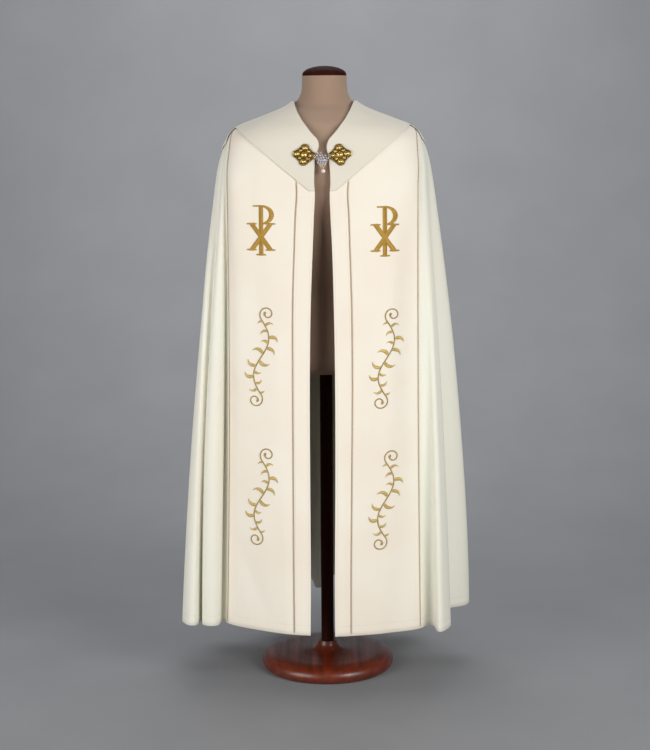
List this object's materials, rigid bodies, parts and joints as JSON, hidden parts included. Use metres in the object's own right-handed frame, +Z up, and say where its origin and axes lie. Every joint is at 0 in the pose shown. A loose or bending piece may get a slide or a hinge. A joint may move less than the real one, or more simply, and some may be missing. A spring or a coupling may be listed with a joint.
{
  "type": "cope vestment on a limbless dress form",
  "caption": "long open-fronted liturgical cloak with embroidered front panels, a wide pointed collar and a metal clasp, worn by a limbless dress form on a round base",
  "frame": {"origin": "centre of the round base's underside, on the floor", "axes": "+Z up; the garment's open front faces -Y; +X is the viewer's right when facing the front"},
  "size_m": [0.8038, 0.6066, 1.6677],
  "materials": {
    "cloak_cloth": "matte ivory cloth",
    "panel_cloth": "matte cream cloth",
    "gold_braid": "metallic thread",
    "gilt_metal": "polished gilt",
    "crystal": "clear faceted",
    "form_linen": "matte linen",
    "stained_wood": "glossy red-brown stain"
  },
  "bodies": {
    "root": {"cloak": "cloak_cloth", "collar": "cloak_cloth", "front_panel_left": "panel_cloth", "front_panel_right": "panel_cloth", "edge_band_left": "panel_cloth", "edge_band_right": "panel_cloth", "trim_outer_left": "gold_braid", "trim_inner_left": "gold_braid", "trim_inner_right": "gold_braid", "trim_outer_right": "gold_braid", "clasp_left": "gilt_metal", "clasp_right": "gilt_metal", "clasp_chain": "gilt_metal", "clasp_pendant": "crystal", "form_torso": "form_linen", "form_cap": "stained_wood", "form_pole": "stained_wood", "form_base": "stained_wood"}
  },
  "joints": []
}
